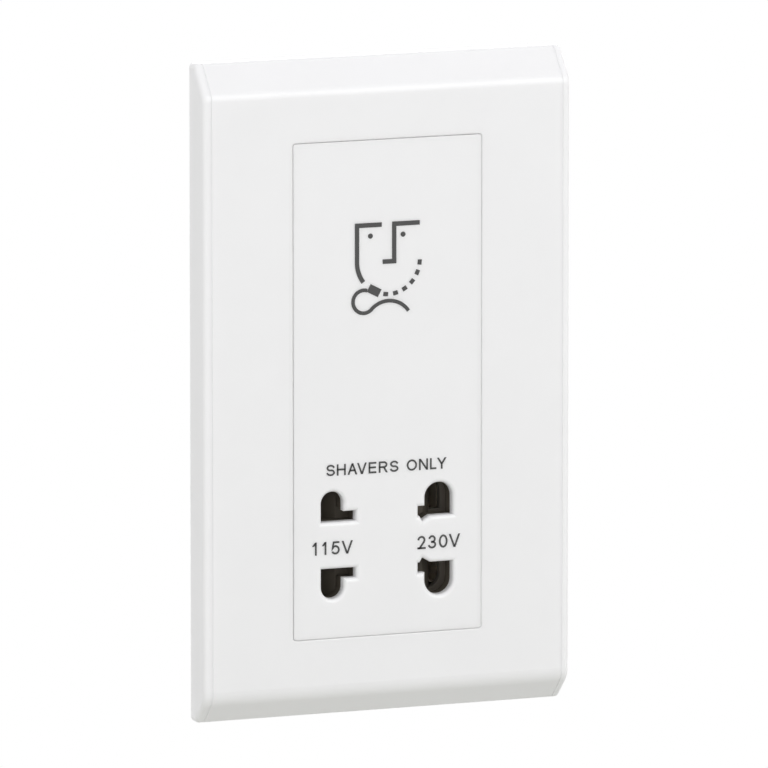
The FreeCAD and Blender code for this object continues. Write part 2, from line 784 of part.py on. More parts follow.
def contact_cover():
    x, z = block_span()
    slab = box("cover_slab", x, (CONTACT_BACK, COVER_BACK), z)
    past = (f"{CONTACT_BACK} - {OVERSHOOT}", f"{COVER_BACK} + {OVERSHOOT}")
    slots = [
        corner_box(
            f"cover_slot_{label}", sign_x, sign_z,
            (f"{TAIL_SIDE[0]} - tail_gap", f"{TAIL_SIDE[1]} + tail_gap"), past,
            (f"{TAIL_MIDDLE} - tail_width/2 - tail_gap", f"{TAIL_MIDDLE} + tail_width/2 + tail_gap"),
        )
        for label, sign_x, sign_z in contact_places()
    ]
    holes = contact_screw_holes("cover_hole", "small_shank + pass_play", past)
    finish(cut("cover_finished", slab, slots + holes), "contact_cover")


def contact(label, sign_x, sign_z):
    """A folded brass strip: a flat leg, the base at the outlet's outer side and a sloped spring leg."""
    base = "(pocket_outer - contact_fit)"
    tip = "(pocket_inner + contact_fit)"
    near_z = "(pocket_near + contact_fit)"
    far_z = "(pocket_far - contact_fit)"
    fall = f"(({far_z} - contact_strip - contact_tip)/({base} - {tip}))"
    corners = [
        (base, near_z),
        (tip, near_z),
        (tip, f"{near_z} + contact_strip"),
        (f"{base} - contact_strip", f"{near_z} + contact_strip"),
        (f"{base} - contact_strip", f"{far_z} - contact_strip - contact_strip*{fall}"),
        (tip, "contact_tip"),
        (tip, "contact_tip + contact_strip"),
        (base, far_z),
    ]
    points = [(f"{sign_x}*({x})", f"{sign_z}*({z})") for x, z in corners]
    body = doc.addObject("PartDesign::Body", f"contact_{label}_body")
    sketch = outline(body, "XZ_Plane", f"contact_{label}_strip", points)
    pad(body, f"contact_{label}_pad", sketch, "contact_length", reverse=True)
    front = f"({CONTACT_BACK} - contact_fit - contact_length)"
    place(body, "0", front, OUTLET)
    tail = corner_box(
        f"contact_{label}_tail", sign_x, sign_z, TAIL_SIDE,
        (f"{CONTACT_BACK} - contact_strip", f"{COVER_BACK} + tail_reach"),
        (f"{TAIL_MIDDLE} - tail_width/2", f"{TAIL_MIDDLE} + tail_width/2"),
    )
    finish(fuse(f"contact_{label}_whole", [body, tail]), f"contact_{label}")


def screw(name, at, head_y, tip_y, shank, head):
    """A cross-recessed screw along Y; its head lies on the side away from the tip."""
    toward = 1 if amount(tip_y) > amount(head_y) else -1
    top = f"({head_y} - {toward}*head_rise)"
    floor = f"({top} + {toward}*recess_depth)"
    shank_span = ordered(f"({head_y} - {toward}*head_rise/2)", tip_y)
    blank = fuse(
        f"{name}_blank",
        [
            rod(f"{name}_head", "y", head, ordered(head_y, top), at),
            rod(f"{name}_shank", "y", shank, shank_span, at),
        ],
    )
    x, z = at
    recess = ordered(f"({top} - {toward}*head_rise)", floor)
    across = f"recess_share*{head}"
    cross = [
        box(f"{name}_cross_level", centred(x, across), recess, centred(z, "recess_width")),
        box(f"{name}_cross_upright", centred(x, "recess_width"), recess, centred(z, across)),
    ]
    return cut(name, blank, cross)


def screws():
    """The screws that hold the contact stack, the housing, the straps and the terminal block."""
    sets = (
        (
            "contact_screws", both("contact_screw_side"), CONTACT_SCREW_ROWS, COVER_BACK,
            f"({FACE} + pilot_skin + screw_play)", "small_shank", "small_head",
        ),
        (
            "housing_screws", both(BOSS_X), both(BOSS_Z), FRAME_FRONT, "screw_bite",
            "housing_shank", "housing_head",
        ),
        (
            "strap_screws", both("strap_side"), (POST_FOOT, POST_TOP), f"({CORE_FRONT} - strap_thick)",
            f"({CORE_FRONT} + screw_bite)", "housing_shank", "housing_head",
        ),
        (
            "terminal_block_screws", both("term_fix_side"), (f"{TERM_Z} - term_fix_drop",),
            "(lower_depth + term_fix_depth)", "(lower_depth + term_fix_depth - screw_bite)",
            "small_shank", "small_head",
        ),
    )
    for label, columns, rows, head_y, tip_y, shank, head in sets:
        pieces = grid(
            label, lambda name, x, z: screw(name, (x, z), head_y, tip_y, shank, head), columns, rows
        )
        group(label, pieces)


def drafted_box(name, half_x, y, z):
    """A block that narrows along Y by the housing's draft; its half width is the one at the wall plane."""
    block = doc.addObject("Part::Wedge", name)
    for number, depth in zip(("", "2"), y):
        for end, side in zip(("min", "max"), both(f"({half_x} - ({depth})*tan(housing_draft))")):
            block.setExpression(f"X{number}{end}", bound(side))
        for end, level in zip(("min", "max"), z):
            block.setExpression(f"Z{number}{end}", bound(level))
    for end, depth in zip(("min", "max"), y):
        block.setExpression(f"Y{end}", bound(depth))
    return block


def rear_housing():
    half_x, half_z = "housing_width/2", "housing_height/2"
    step = "(-step_drop)"
    blocks = [
        drafted_box("housing_upper", half_x, ("0", "upper_depth"), (f"{step} - housing_wall", half_z)),
        drafted_box("housing_lower", half_x, ("0", "lower_depth"), (f"-{half_z}", "0")),
    ]
    rooms = [
        drafted_box(
            "housing_upper_room", HOUSING_IN_X, (f"-{OVERSHOOT}", "upper_depth - housing_wall"),
            (step, HOUSING_IN_Z),
        ),
        drafted_box(
            "housing_lower_room", HOUSING_IN_X, (f"-{OVERSHOOT}", "lower_depth - housing_wall"),
            (f"-{HOUSING_IN_Z}", "0"),
        ),
    ]
    outside = [
        rounded(
            f"{block.Name}_rounded", block, "housing_corner",
            lambda edge: not runs_along(edge, "x") and not runs_along(edge, "z"),
        )
        for block in blocks
    ]
    shell = cut("housing_shell", fuse("housing_blocks", outside), rooms)

    bosses = grid(
        "housing_boss", lambda name, x, z: rod(name, "y", "boss_radius", ("0", "boss_length"), (x, z)),
        both(BOSS_X), both(BOSS_Z),
    )
    back = "(upper_depth - housing_wall/2)"
    posts = grid(
        "housing_post", lambda name, x, z: rod(name, "y", "post_radius", (CORE_FRONT, back), (x, z)),
        both("strap_side"), (POST_FOOT, POST_TOP),
    )
    rests = pair(
        "housing_rest",
        lambda name, sign: box(
            name, centred(f"{sign}*strap_side", "strap_width"), (CORE_BACK, back), (CORE_FOOT, CORE_TOP)
        ),
    )
    fix_z = f"({TERM_Z} - term_fix_drop)"
    fix_tip = "(lower_depth + term_fix_depth - screw_bite - housing_wall)"
    fixes = pair(
        "housing_fix",
        lambda name, sign: rod(
            name, "y", "boss_radius", (fix_tip, "lower_depth - housing_wall/2"),
            (f"{sign}*term_fix_side", fix_z),
        ),
    )
    pilot = "housing_shank + screw_play"
    pilots = grid(
        "housing_boss_pilot",
        lambda name, x, z: rod(name, "y", pilot, (f"-{OVERSHOOT}", "boss_length"), (x, z)),
        both(BOSS_X), both(BOSS_Z),
    )
    pilots += grid(
        "housing_post_pilot",
        lambda name, x, z: rod(name, "y", pilot, ("0", f"{CORE_FRONT} + screw_bite + housing_wall"), (x, z)),
        both("strap_side"), (POST_FOOT, POST_TOP),
    )
    pilots += pair(
        "housing_fix_pilot",
        lambda name, sign: rod(
            name, "y", "small_shank + screw_play",
            (f"{fix_tip} + housing_wall/2", f"lower_depth + {OVERSHOOT}"), (f"{sign}*term_fix_side", fix_z),
        ),
    )
    tail_slots = [
        box(
            f"housing_tail_slot_{name}", centred(x, "(clamp_tail + 2*tail_gap)"),
            ("lower_depth - 2*housing_wall", f"lower_depth + {OVERSHOOT}"),
            centred(TERM_Z, "(clamp_tail_thick + 2*tail_gap)"),
        )
        for name, x in clamp_places()
    ]
    vents = [
        box(
            f"housing_vent_{number}", centred(f"{number - 2}*vent_pitch", "vent_width"),
            ("upper_depth - 2*housing_wall", f"upper_depth + {OVERSHOOT}"),
            centred("core_rise", "vent_height"),
        )
        for number in range(5)
    ]
    built = fuse("housing_built", [shell] + bosses + posts + rests + fixes)
    finish(cut("housing_finished", built, pilots + tail_slots + vents), "rear_housing")


def transformer_core():
    y = (CORE_FRONT, CORE_BACK)
    split = f"({CORE_TOP} - core_yoke)"
    window = "(core_width/2 - core_yoke)"
    slab = box("core_slab", both("core_width/2"), y, (CORE_FOOT, split))
    past = (f"{CORE_FRONT} - {OVERSHOOT}", f"{CORE_BACK} + {OVERSHOOT}")
    windows = pair(
        "core_window",
        lambda name, sign: box(
            name, sided(sign, "core_leg/2", window), past,
            (f"{CORE_FOOT} + core_yoke", f"{split} + {OVERSHOOT}"),
        ),
    )
    finish(cut("core_e_cut", slab, windows), "core_e_stack")
    finish(box("core_i_bar", both("core_width/2"), y, (split, CORE_TOP)), "core_i_stack")
    straps = []
    for side, sign in (("left", "-1"), ("right", "1")):
        strip = box(
            f"strap_{side}_strip", centred(f"{sign}*strap_side", "strap_width"),
            (f"{CORE_FRONT} - strap_thick", CORE_FRONT),
            (f"{POST_FOOT} - post_radius", f"{POST_TOP} + post_radius"),
        )
        holes = [
            rod(
                f"strap_{side}_hole_{end}", "y", "housing_shank + pass_play", ("0", CORE_BACK),
                (f"{sign}*strap_side", z),
            )
            for end, z in (("foot", POST_FOOT), ("top", POST_TOP))
        ]
        straps.append(cut(f"strap_{side}", strip, holes))
    group("core_straps", straps)


def coil_ring(name, inner, outer_x, outer_y, z, corner):
    """A ring about the core's middle leg, between an inner half width and outer half widths."""
    outside = rounded_box(
        f"{name}_outside", both(outer_x), centred("core_centre", f"2*{outer_y}"), z, corner, "z"
    )
    past = (f"{z[0]} - {OVERSHOOT}", f"{z[1]} + {OVERSHOOT}")
    inner_x, inner_y = inner
    inside = box(f"{name}_inside", both(inner_x), centred("core_centre", f"2*{inner_y}"), past)
    return cut(name, outside, [inside])


def tag_boxes(name, low):
    """The soldering tags under the bobbin's lower flange."""
    y = centred(f"{COIL_FRONT} + tag_setback", "tag_thick")
    z = (low, f"{BOBBIN_FOOT} + bobbin_flange/2")
    return [
        box(f"{name}_{number}", centred(f"{number - 2}*tag_pitch", "tag_width"), y, z) for number in range(5)
    ]


def coil():
    hole = ("(core_leg/2 + bobbin_fit)", "(core_stack/2 + bobbin_fit)")
    tube = tuple(f"({half} + bobbin_wall)" for half in hole)
    flange = (FLANGE_X, "(coil_depth/2)")
    wound = tuple(f"({half} - coil_recess)" for half in flange)
    taped = tuple(f"({half} + tape_thick)" for half in wound)
    chamber = f"({BOBBIN_HALF} - 3*bobbin_flange/2)"
    levels = [BOBBIN_FOOT, "(core_rise - bobbin_flange/2)", f"(core_rise + {BOBBIN_HALF} - bobbin_flange)"]
    rings = [
        coil_ring(f"bobbin_flange_{n}", hole, *flange, (low, f"{low} + bobbin_flange"), "bobbin_wall")
        for n, low in enumerate(levels)
    ]
    height = (BOBBIN_FOOT, f"(core_rise + {BOBBIN_HALF})")
    rings.append(coil_ring("bobbin_tube", hole, *tube, height, "bobbin_wall/2"))
    seats = tag_boxes("bobbin_seat", f"{BOBBIN_FOOT} - {OVERSHOOT}")
    finish(cut("bobbin_cut", fuse("bobbin_rings", rings), seats), "coil_bobbin")
    group("coil_tags", tag_boxes("tag", f"{BOBBIN_FOOT} - tag_length"))
    for label, low in zip(("primary", "secondary"), levels):
        z = (f"({low} + bobbin_flange)", f"({low} + bobbin_flange + {chamber})")
        finish(coil_ring(f"{label}_ring", tube, *wound, z, "coil_round"), f"{label}_winding")
        wrap = rounded_box(
            f"{label}_wrap", both(taped[0]), centred("core_centre", f"2*{taped[1]}"), z,
            "coil_round + tape_thick", "z",
        )
        past = (f"{z[0]} - {OVERSHOOT}", f"{z[1]} + {OVERSHOOT}")
        inside = rounded_box(
            f"{label}_wrapped", both(wound[0]), centred("core_centre", f"2*{wound[1]}"), past,
            "coil_round", "z",
        )
        finish(cut(f"{label}_tape_cut", wrap, [inside]), f"{label}_tape")


def thermal_cutout():
    can = rounded_box(
        "cutout_can", both("cutout_width/2"), (f"{CUTOUT_BACK} - cutout_thick", CUTOUT_BACK),
        centred(PRIMARY_Z, "cutout_height"), "cutout_thick/4",
    )
    finish(can, "thermal_cutout")


def clamp_places():
    """Each supply terminal's name and its place along X."""
    return (("neutral", "-term_pitch"), ("earth", "0"), ("live", "term_pitch"))


def terminals():
    half_x, half_z = "term_width/2", "term_height/2"
    z = (f"{TERM_Z} - {half_z}", f"{TERM_Z} + {half_z}")
    block = rounded_box("term_block", both(half_x), ("lower_depth", TERM_BACK), z, "term_corner")
    clamp_back = f"({CLAMP_FRONT} + clamp_depth)"
    past_front, past_back = f"lower_depth - {OVERSHOOT}", f"{TERM_BACK} + {OVERSHOOT}"
    tools = []
    heads = []
    for name, x in clamp_places():
        tools += [
            box(
                f"term_{name}_room", centred(x, "(clamp_width + 2*clamp_gap)"),
                (past_front, f"{clamp_back} + clamp_gap"),
                centred(TERM_Z, "(clamp_height + 2*clamp_gap)"),
            ),
            rod(f"term_{name}_well", "y", "well_radius", (clamp_back, past_back), (x, TERM_Z)),
            rod(f"term_{name}_entry", "z", "entry_radius", (f"{z[0]} - {OVERSHOOT}", TERM_Z), (x, BORE_Y)),
        ]
        brass = box(
            f"clamp_{name}_block", centred(x, "clamp_width"), (CLAMP_FRONT, clamp_back),
            centred(TERM_Z, "clamp_height"),
        )
        tail = box(
            f"clamp_{name}_tail", centred(x, "clamp_tail"),
            ("lower_depth - clamp_tail_reach", f"{CLAMP_FRONT} + clamp_gap"),
            centred(TERM_Z, "clamp_tail_thick"),
        )
        bore = rod(f"clamp_{name}_bore", "z", "bore_radius", both("term_height*2"), (x, BORE_Y))
        thread = rod(
            f"clamp_{name}_thread", "y", "clamp_shank + screw_play", (BORE_Y, f"{clamp_back} + {OVERSHOOT}"),
            (x, TERM_Z),
        )
        whole = fuse(f"clamp_{name}_whole", [brass, tail])
        finish(cut(f"clamp_{name}_cut", whole, [bore, thread]), f"{name}_clamp")
        tip = f"({BORE_Y} + bore_radius + clamp_gap)"
        heads.append(screw(f"clamp_{name}_screw", (x, TERM_Z), TERM_BACK, tip, "clamp_shank", "clamp_head"))
    fix_z = f"({TERM_Z} - term_fix_drop)"
    for side, sign in (("left", "-1"), ("right", "1")):
        at = (f"{sign}*term_fix_side", fix_z)
        tools += [
            rod(f"term_fix_{side}", "y", "small_shank + pass_play", (past_front, past_back), at),
            rod(
                f"term_fix_sink_{side}", "y", "small_head + pass_play",
                ("lower_depth + term_fix_depth", past_back), at,
            ),
        ]
    finish(cut("term_cut", block, tools), "terminal_block")
    group("terminal_screws", heads)


# Where the leads start and end: terminal tails, contact tails, soldering tags and the cut-out
TAIL_Y = amount(f"{COVER_BACK} + tail_reach")
TAIL_X = amount(f"({TAIL_SIDE[0]} + {TAIL_SIDE[1]})/2")
TAIL_Z = amount(TAIL_MIDDLE)
OUTLET_Z = amount(OUTLET)
CLAMP_Y = amount("lower_depth - clamp_tail_reach")
CLAMP_Z = amount(TERM_Z)
TERM_X = amount("term_pitch")
TAG_X = amount("tag_pitch")
TAG_Y = amount(f"{COIL_FRONT} + tag_setback")
TAG_Z = amount(f"{BOBBIN_FOOT} - tag_length")
TAG_FRONT = amount(f"{COIL_FRONT} + tag_setback - tag_thick/2")
CAN_X = amount("cutout_width/2")
CAN_Y = amount(CUTOUT_Y)
CAN_Z = amount(PRIMARY_Z)
CORE_Z = amount(CORE_FOOT)
LEAD = amount("lead_radius")
UPPER_TAIL = OUTLET_Z + TAIL_Z
LOWER_TAIL = OUTLET_Z - TAIL_Z

LEADS = {
    "live_lead": [
        (TERM_X, CLAMP_Y, CLAMP_Z), (TERM_X, 18, CLAMP_Z), (10.5, 18, CORE_Z - 12), (10.5, 8, CORE_Z - 5),
        (10.5, CAN_Y, CORE_Z + 2), (12.5, CAN_Y, CAN_Z), (CAN_X, CAN_Y, CAN_Z),
    ],
    "cutout_lead": [
        (-CAN_X, CAN_Y, CAN_Z), (-12, CAN_Y, CAN_Z), (-TAG_X, CAN_Y, TAG_Z + 1.5),
        (-TAG_X, TAG_FRONT, TAG_Z + 1.5),
    ],
    "neutral_lead": [
        (-TERM_X, CLAMP_Y, CLAMP_Z), (-TERM_X, 18, CLAMP_Z), (-9.5, 18, CORE_Z - 11), (-13, 7.5, CORE_Z - 6),
        (-2 * TAG_X, TAG_Y, TAG_Z - 5), (-2 * TAG_X, TAG_Y, TAG_Z),
    ],
    "earth_lead": [
        (0, CLAMP_Y, CLAMP_Z), (0, 18, CLAMP_Z), (0, 20, -22), (0, 23, -9), (0, 23, CORE_Z),
    ],
    "lead_115v": [
        (0, TAG_Y, TAG_Z), (0, TAG_Y, -8), (-9, 14, -13.5), (-TAIL_X, 20.5, -19),
        (-TAIL_X, 20.5, UPPER_TAIL), (-TAIL_X, TAIL_Y, UPPER_TAIL),
    ],
    "lead_230v": [
        (2 * TAG_X, TAG_Y, TAG_Z), (2 * TAG_X, TAG_Y, -8), (15.5, 14, -13.5), (TAIL_X, 20.5, -19),
        (TAIL_X, 20.5, UPPER_TAIL), (TAIL_X, TAIL_Y, UPPER_TAIL),
    ],
    "common_lead": [
        (TAG_X, TAG_Y, TAG_Z), (TAG_X, TAG_Y, -8), (6, 15, -14), (5, 18, -24), (6, 19, -36), (9, 19.5, -43),
        (TAIL_X, 20.5, LOWER_TAIL + 1.1 * LEAD), (TAIL_X, TAIL_Y, LOWER_TAIL + 1.1 * LEAD),
    ],
    "common_link": [
        (-TAIL_X, TAIL_Y, LOWER_TAIL - 1.1 * LEAD), (-TAIL_X, 20.5, LOWER_TAIL - 1.1 * LEAD), (-9, 19, -47.5),
        (9, 19, -47.5), (TAIL_X, 20.5, LOWER_TAIL - 1.1 * LEAD), (TAIL_X, TAIL_Y, LOWER_TAIL - 1.1 * LEAD),
    ],
}


def lead(label, points):
    """An insulated wire along straight runs joined by tangent arcs."""
    corners = [Vector(*point) for point in points]
    edges = []
    start = corners[0]
    for before, corner, after in zip(corners, corners[1:], corners[2:]):
        back = (before - corner).normalize()
        on = (after - corner).normalize()
        reach = 0.45 * min(before.distanceToPoint(corner), after.distanceToPoint(corner))
        enter, leave = corner + back * reach, corner + on * reach
        opening = math.acos(max(-1.0, min(1.0, back.dot(on))))
        radius = reach * math.tan(opening / 2)
        bisector = (back + on).normalize()
        crown = corner + bisector * (radius / math.sin(opening / 2) - radius)
        edges.append(Part.LineSegment(start, enter).toShape())
        edges.append(Part.Arc(enter, crown, leave).toShape())
        start = leave
    edges.append(Part.LineSegment(start, corners[-1]).toShape())
    path = Part.Wire(edges)
    section = Part.Wire(Part.makeCircle(LEAD, corners[0], corners[1] - corners[0]))
    wire = doc.addObject("Part::Feature", f"{label}_wire")
    wire.Shape = path.makePipeShell([section], True, False)
    expected = math.pi * LEAD**2 * path.Length
    if abs(wire.Shape.Volume - expected) > 0.02 * expected:
        raise ValueError(f"{label}: the sweep's volume is off")
    finish(wire, label)


def write_parts():
    """Check every object and write each sub-part to its own file."""
    doc.recompute()
    for item in doc.Objects:
        if {"Invalid", "Error"} & set(item.State):
            raise ValueError(f"{item.Name} failed: {item.State}")
    os.makedirs("parts", exist_ok=True)
    for piece in finished:
        if piece.Shape.isNull() or not piece.Shape.isValid():
            raise ValueError(f"{piece.Label} has no valid shape")
        piece.Shape.exportStep(f"parts/{piece.Label}.step")


cover_plate()
socket_front()
support_frame()
aperture_guide()
shutter_slider()
for side_name, side_sign in (("left", "-1"), ("right", "1")):
    shutter_spring(side_name, side_sign)
contact_housing()
contact_cover()
for place_name, column_sign, row_sign in contact_places():
    contact(place_name, column_sign, row_sign)
rear_housing()
transformer_core()
coil()
thermal_cutout()
terminals()
screws()
for lead_name, route in LEADS.items():
    lead(lead_name, route)
write_parts()
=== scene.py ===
"""The looks of a dual-voltage shaver socket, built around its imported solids.

X runs to the right, Y into the wall and Z up, all in metres.
"""

import json
import math

import bmesh
import bpy
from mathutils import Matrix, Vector


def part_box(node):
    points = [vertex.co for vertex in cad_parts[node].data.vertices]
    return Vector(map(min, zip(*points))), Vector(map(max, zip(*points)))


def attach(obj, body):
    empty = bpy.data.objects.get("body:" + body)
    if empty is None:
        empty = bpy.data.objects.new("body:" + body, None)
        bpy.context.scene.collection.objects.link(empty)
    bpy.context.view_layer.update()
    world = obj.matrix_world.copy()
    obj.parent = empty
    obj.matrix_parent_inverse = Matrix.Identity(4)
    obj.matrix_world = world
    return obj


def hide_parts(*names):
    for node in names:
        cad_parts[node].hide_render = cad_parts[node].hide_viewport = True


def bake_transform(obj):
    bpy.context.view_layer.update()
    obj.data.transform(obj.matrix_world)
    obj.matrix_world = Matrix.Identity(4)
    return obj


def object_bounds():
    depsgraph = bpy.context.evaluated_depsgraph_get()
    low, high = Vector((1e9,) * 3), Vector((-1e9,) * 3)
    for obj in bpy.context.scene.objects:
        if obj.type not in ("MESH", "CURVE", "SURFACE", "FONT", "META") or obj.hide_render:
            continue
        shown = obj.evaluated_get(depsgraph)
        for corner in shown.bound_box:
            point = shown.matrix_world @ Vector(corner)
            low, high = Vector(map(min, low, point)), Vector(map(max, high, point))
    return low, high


MM = 0.001

# The photograph's frame and camera, in its own pixels and degrees
PICTURE = 768
FOCAL_PIXELS = 12000
PIXELS_PER_METRE = 4550
ORIGIN_PIXEL = (373.9, 381.6)
AZIMUTH = -21.0
ELEVATION = 9.6
SENSOR_MM = 36.0

# Soft lamps: place, width, height and watts
LAMPS = {
    "key": ((0.55, -0.98, 0.58), 0.7, 0.7, 4.9),
    "left": ((-1.2, -0.95, 0.25), 1.0, 1.2, 4.3),
    "back": ((0.6, 1.5, 0.7), 1.0, 1.0, 7.0),
}
# The strength of the even light from all around
AMBIENT = 0.72

# The floor: its size, its colour in the light it throws back and where the camera sees it, and the share
# of plain white where it is seen
FLOOR_DROP = 0.25
FLOOR_RADIUS = 0.9
FLOOR_SIDES = 96
FLOOR_ROUGHNESS = 0.9
FLOOR_BOUNCE = (0.505, 0.51, 0.465)
FLOOR_SEEN = (0.8, 0.8, 0.8)
FLOOR_GLOW = 0.85

# Plastic: the size of its clouds and of its polished patches, how much these differ, the strength of its
# grain and how deep light spreads in it
CLOUD_SIZE = 14 * MM
POLISH_SIZE = 3 * MM
POLISH_SPREAD = 0.04
GRAIN_STRENGTH = 0.6
MILKY_DEPTH = 1.2 * MM

# Metal: the size and shades of its stains, and the size, roughness, height and strength of its marks
STAIN_SIZE = 1.6 * MM
STAIN_SHADES = (0.9, 1.05)
MARK_SIZE = 0.08 * MM
MARK_ROUGHNESS = (-0.08, 0.1)
MARK_HEIGHT = 0.003 * MM
MARK_STRENGTH = 0.5

# Sheets and turns: the size and roughness of their worn patches, and the depth of a groove as a share of
# the pitch
WEAR_SIZE = 2 * MM
WEAR_ROUGHNESS = (-0.05, 0.08)
GROOVE_SHARE = 0.25

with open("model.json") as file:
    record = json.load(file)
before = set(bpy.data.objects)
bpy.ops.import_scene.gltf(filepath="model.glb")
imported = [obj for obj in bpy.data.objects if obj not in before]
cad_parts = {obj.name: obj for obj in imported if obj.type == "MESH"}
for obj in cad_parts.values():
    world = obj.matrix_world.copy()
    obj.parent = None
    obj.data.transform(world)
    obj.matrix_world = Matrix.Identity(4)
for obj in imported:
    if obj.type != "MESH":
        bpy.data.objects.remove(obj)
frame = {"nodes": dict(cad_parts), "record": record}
cad_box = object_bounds()
nodes = frame["nodes"]


def aim_camera():
    """Look from the photograph's direction, with the frame's origin at its own pixel."""
    azimuth, elevation = math.radians(AZIMUTH), math.radians(ELEVATION)
    back = Vector((
        math.sin(azimuth) * math.cos(elevation),
        -math.cos(azimuth) * math.cos(elevation),
        math.sin(elevation),
    ))
    turn = (-back).to_track_quat("-Z", "Y")
    right, up = turn @ Vector((1, 0, 0)), turn @ Vector((0, 1, 0))
    aside = (PICTURE / 2 - ORIGIN_PIXEL[0]) / PIXELS_PER_METRE
    below = (PICTURE / 2 - ORIGIN_PIXEL[1]) / PIXELS_PER_METRE
    data = bpy.data.cameras.new("camera")
    data.sensor_width = SENSOR_MM
    data.lens = SENSOR_MM * FOCAL_PIXELS / PICTURE
    camera = bpy.data.objects.new("camera", data)
    camera.location = right * aside - up * below + back * FOCAL_PIXELS / PIXELS_PER_METRE
    camera.rotation_mode = "QUATERNION"
    camera.rotation_quaternion = turn
    bpy.context.scene.collection.objects.link(camera)
    bpy.context.scene.camera = camera


def node(tree, kind, inputs=None, **settings):
    """Add a shader node with its settings and the values of its inputs."""
    made = tree.nodes.new(kind)
    for name, value in settings.items():
        setattr(made, name, value)
    for name, value in (inputs or {}).items():
        made.inputs[name].default_value = value
    return made


def seen_directly(tree):
    """A factor that is 1 where the camera, a reflection or a clear material sees the background."""
    path = node(tree, "ShaderNodeLightPath")
    total = path.outputs["Is Camera Ray"]
    for name in ("Is Glossy Ray", "Is Transmission Ray"):
        either = node(tree, "ShaderNodeMath", operation="MAXIMUM")
        tree.links.new(total, either.inputs[0])
        tree.links.new(path.outputs[name], either.inputs[1])
        total = either.outputs["Value"]
    return total


def light_world():
    """A white background over an even grey light."""
    world = bpy.data.worlds.new("studio")
    world.use_nodes = True
    tree = world.node_tree
    even = tree.nodes["Background"]
    even.inputs["Color"].default_value = (1, 1, 1, 1)
    even.inputs["Strength"].default_value = AMBIENT
    white = node(tree, "ShaderNodeBackground", {"Color": (1, 1, 1, 1), "Strength": 1.0})
    mix = node(tree, "ShaderNodeMixShader")
    tree.links.new(seen_directly(tree), mix.inputs["Fac"])
    tree.links.new(even.outputs["Background"], mix.inputs[1])
    tree.links.new(white.outputs["Background"], mix.inputs[2])
    tree.links.new(mix.outputs["Shader"], tree.nodes["World Output"].inputs["Surface"])
    bpy.context.scene.world = world


def light_lamps():
    """Hang the soft lamps, each one facing the object."""
    for name, (place, width, height, watts) in LAMPS.items():
        data = bpy.data.lights.new(name, "AREA")
        data.shape = "RECTANGLE"
        data.size = width
        data.size_y = height
        data.energy = watts
        lamp = bpy.data.objects.new(name, data)
        lamp.location = place
        lamp.rotation_mode = "QUATERNION"
        lamp.rotation_quaternion = (-Vector(place)).to_track_quat("-Z", "Y")
        bpy.context.scene.collection.objects.link(lamp)


def lay_floor():
    """A plain pale floor well under the object, which hangs free as in the photograph."""
    level = cad_box[0].z - FLOOR_DROP
    turns = [2 * math.pi * side / FLOOR_SIDES for side in range(FLOOR_SIDES)]
    rim = [(FLOOR_RADIUS * math.cos(turn), FLOOR_RADIUS * math.sin(turn), level) for turn in turns]
    mesh = bpy.data.meshes.new("floor")
    mesh.from_pydata(rim, [], [range(FLOOR_SIDES)])
    floor = bpy.data.objects.new("floor", mesh)
    bpy.context.scene.collection.objects.link(floor)
    pale, tree, shader = new_material("pale_floor")
    shader.inputs["Roughness"].default_value = FLOOR_ROUGHNESS
    seen = node(tree, "ShaderNodeLightPath").outputs["Is Camera Ray"]
    shade(tree, shader, seen, FLOOR_BOUNCE, FLOOR_SEEN)
    glow = node(tree, "ShaderNodeEmission", {"Color": (1, 1, 1, 1), "Strength": 1.0})
    share = node(tree, "ShaderNodeMath", {1: FLOOR_GLOW}, operation="MULTIPLY")
    mix = node(tree, "ShaderNodeMixShader")
    tree.links.new(seen_directly(tree), share.inputs[0])
    tree.links.new(share.outputs["Value"], mix.inputs["Fac"])
    tree.links.new(shader.outputs["BSDF"], mix.inputs[1])
    tree.links.new(glow.outputs["Emission"], mix.inputs[2])
    tree.links.new(mix.outputs["Shader"], tree.nodes["Material Output"].inputs["Surface"])
    mesh.materials.append(pale)


def noise(tree, size, detail=3.0):
    """Even noise with features of a size in metres, in the frame's own coordinates."""
    place = node(tree, "ShaderNodeTexCoord")
    made = node(tree, "ShaderNodeTexNoise", {"Scale": 1 / size, "Detail": detail})
    tree.links.new(place.outputs["Object"], made.inputs["Vector"])
    return made.outputs["Fac"]


def bands(tree, pitch, direction):
    """Stripes along an axis or a diagonal, in the frame's own coordinates; the pitch is an axis's."""
    place = node(tree, "ShaderNodeTexCoord")
    # The texture's own pitch, at a scale of 1
    plain_pitch = math.pi / 10
    made = node(tree, "ShaderNodeTexWave", {"Scale": plain_pitch / pitch}, bands_direction=direction)
    tree.links.new(place.outputs["Object"], made.inputs["Vector"])
    return made.outputs["Fac"]


def shade(tree, shader, factor, low, high):
    """Let a factor run the base colour between two colours."""
    ramp = node(tree, "ShaderNodeMix", {"A": (*low, 1), "B": (*high, 1)}, data_type="RGBA")
    tree.links.new(factor, ramp.inputs["Factor"])
    tree.links.new(ramp.outputs["Result"], shader.inputs["Base Color"])


def spread_roughness(tree, shader, factor, low, high):
    """Let a factor run the roughness between two values."""
    span = node(tree, "ShaderNodeMapRange", {"To Min": low, "To Max": high})
    tree.links.new(factor, span.inputs["Value"])
    tree.links.new(span.outputs["Result"], shader.inputs["Roughness"])


def emboss(tree, shader, factor, height, strength=1.0):
    """Raise the surface by a factor, up to a height in metres."""
    bump = node(tree, "ShaderNodeBump", {"Strength": strength, "Distance": height})
    tree.links.new(factor, bump.inputs["Height"])
    tree.links.new(bump.outputs["Normal"], shader.inputs["Normal"])


def new_material(name):
    """A new material, its tree and its main shader."""
    made = bpy.data.materials.new(name)
    made.use_nodes = True
    return made, made.node_tree, made.node_tree.nodes["Principled BSDF"]


def scaled(colour, share):
    """A darker or lighter colour."""
    return tuple(min(1.0, part * share) for part in colour)


